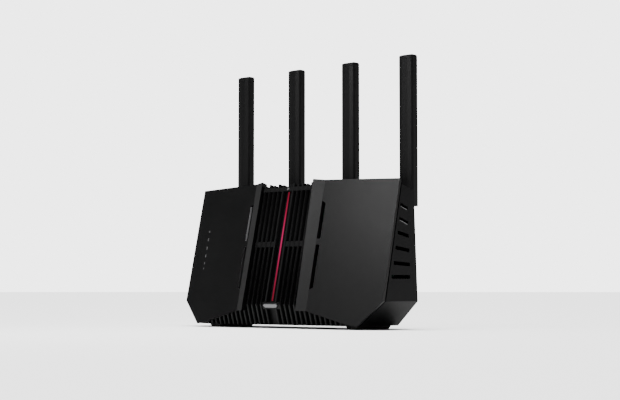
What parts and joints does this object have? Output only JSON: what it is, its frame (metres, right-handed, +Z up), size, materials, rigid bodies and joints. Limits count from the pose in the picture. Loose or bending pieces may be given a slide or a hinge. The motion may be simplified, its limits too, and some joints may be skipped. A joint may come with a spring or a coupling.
{
  "type": "wireless router",
  "caption": "Upright home wireless router: faceted leaning front panels, ribbed centre grille with a red light bar, rear sockets and swivelling blade antennas.",
  "frame": {"origin": "middle of the footprint, on the surface it stands on", "axes": "+Z up, +Y to the rear, +X to the right seen from the front"},
  "size_m": [0.25, 0.085, 0.2572],
  "materials": {
    "panel_plastic": "fine satin texture, near black",
    "frame_plastic": "matte black",
    "grille_plastic": "satin black ribs",
    "light_red": "diffusing red light guide",
    "status_grey": "milky light guide",
    "badge_silver": "plain bright badge with no mark",
    "cover_plastic": "matte black, fine grain",
    "screw_steel": "dark plated",
    "foot_rubber": "matte",
    "label_grey": "plain satin film",
    "board_green": "solder resist",
    "sink_aluminium": "extruded",
    "pad_grey": "soft matte",
    "shield_tin": "tin plated",
    "chip_black": "moulded epoxy",
    "capacitor_can": "satin",
    "lead_black": "satin sheath",
    "lan_plastic": "amber yellow nylon",
    "wan_plastic": "blue nylon",
    "contact_gold": "gold plated",
    "port_steel": "nickel plated",
    "tongue_blue": "blue nylon",
    "port_black": "moulded",
    "button_plastic": "semi gloss black",
    "blade_plastic": "satin black",
    "hinge_plastic": "matte black",
    "pin_steel": "ground",
    "element_copper": "copper strip"
  },
  "bodies": {
    "shell": {"antenna_leads": "lead_black", "badge": "badge_silver", "blank_label": "label_grey", "board_screws": "screw_steel", "capacitors": "capacitor_can", "center_grille": "grille_plastic", "cover_screws": "screw_steel", "foot_left": "foot_rubber", "foot_right": "foot_rubber", "front_frame_left": "frame_plastic", "front_frame_right": "frame_plastic", "front_panel_left": "panel_plastic", "front_panel_right": "panel_plastic", "heat_sink_front": "sink_aluminium", "heat_sink_rear": "sink_aluminium", "jack_contacts": "contact_gold", "lan_port_block": "lan_plastic", "led_switch": "port_black", "light_bar": "light_red", "main_board": "board_green", "memory_chips": "chip_black", "power_jack": "port_black", "power_jack_pin": "port_steel", "power_switch": "port_black", "processor": "chip_black", "rear_cover": "cover_plastic", "reset_switch": "port_black", "shield_can_center": "shield_tin", "shield_can_left": "shield_tin", "shield_can_right": "shield_tin", "status_light_guide": "status_grey", "thermal_pad_front": "pad_grey", "thermal_pad_rear": "pad_grey", "usb_port": "port_steel", "usb_tongue": "tongue_blue", "wan_port": "wan_plastic", "wps_switch": "port_black"},
    "antenna_1_base": {"antenna_1_mount": "hinge_plastic", "antenna_1_pin": "pin_steel"},
    "antenna_1_blade": {"antenna_1_housing": "blade_plastic", "antenna_1_cap": "blade_plastic", "antenna_1_element": "element_copper"},
    "antenna_2_base": {"antenna_2_mount": "hinge_plastic", "antenna_2_pin": "pin_steel"},
    "antenna_2_blade": {"antenna_2_housing": "blade_plastic", "antenna_2_cap": "blade_plastic", "antenna_2_element": "element_copper"},
    "antenna_3_base": {"antenna_3_mount": "hinge_plastic", "antenna_3_pin": "pin_steel"},
    "antenna_3_blade": {"antenna_3_housing": "blade_plastic", "antenna_3_cap": "blade_plastic", "antenna_3_element": "element_copper"},
    "antenna_4_base": {"antenna_4_mount": "hinge_plastic", "antenna_4_pin": "pin_steel"},
    "antenna_4_blade": {"antenna_4_housing": "blade_plastic", "antenna_4_cap": "blade_plastic", "antenna_4_element": "element_copper"},
    "power_key": {"power_button": "button_plastic"},
    "wps_key": {"wps_button": "button_plastic"},
    "led_key": {"led_button": "button_plastic"}
  },
  "joints": [
    {"name": "antenna_1_turn", "type": "hinge", "parent": "shell", "child": "antenna_1_base", "pos_m": [-0.105, 0.0329, 0.105], "axis": [0, 1, 0], "range_deg": [-90, 18]},
    {"name": "antenna_1_tilt", "type": "hinge", "parent": "antenna_1_base", "child": "antenna_1_blade", "pos_m": [-0.105, 0.0329, 0.105], "axis": [-1, 0, 0], "range_deg": [0, 90]},
    {"name": "antenna_2_turn", "type": "hinge", "parent": "shell", "child": "antenna_2_base", "pos_m": [-0.035, 0.0329, 0.105], "axis": [0, 1, 0], "range_deg": [-18, 18]},
    {"name": "antenna_2_tilt", "type": "hinge", "parent": "antenna_2_base", "child": "antenna_2_blade", "pos_m": [-0.035, 0.0329, 0.105], "axis": [-1, 0, 0], "range_deg": [0, 90]},
    {"name": "antenna_3_turn", "type": "hinge", "parent": "shell", "child": "antenna_3_base", "pos_m": [0.035, 0.0329, 0.105], "axis": [0, 1, 0], "range_deg": [-18, 18]},
    {"name": "antenna_3_tilt", "type": "hinge", "parent": "antenna_3_base", "child": "antenna_3_blade", "pos_m": [0.035, 0.0329, 0.105], "axis": [-1, 0, 0], "range_deg": [0, 90]},
    {"name": "antenna_4_turn", "type": "hinge", "parent": "shell", "child": "antenna_4_base", "pos_m": [0.105, 0.0329, 0.105], "axis": [0, 1, 0], "range_deg": [-18, 90]},
    {"name": "antenna_4_tilt", "type": "hinge", "parent": "antenna_4_base", "child": "antenna_4_blade", "pos_m": [0.105, 0.0329, 0.105], "axis": [-1, 0, 0], "range_deg": [0, 90]},
    {"name": "power_key_press", "type": "slide", "parent": "shell", "child": "power_key", "axis": [0, -1, 0], "range_m": [0, 0.0015], "stiffness_N_per_m": 300, "springref_m": -0.001},
    {"name": "wps_key_press", "type": "slide", "parent": "shell", "child": "wps_key", "axis": [0, -1, 0], "range_m": [0, 0.0007], "stiffness_N_per_m": 300, "springref_m": -0.001},
    {"name": "led_key_press", "type": "slide", "parent": "shell", "child": "led_key", "axis": [0, -1, 0], "range_m": [0, 0.0007], "stiffness_N_per_m": 300, "springref_m": -0.001}
  ]
}
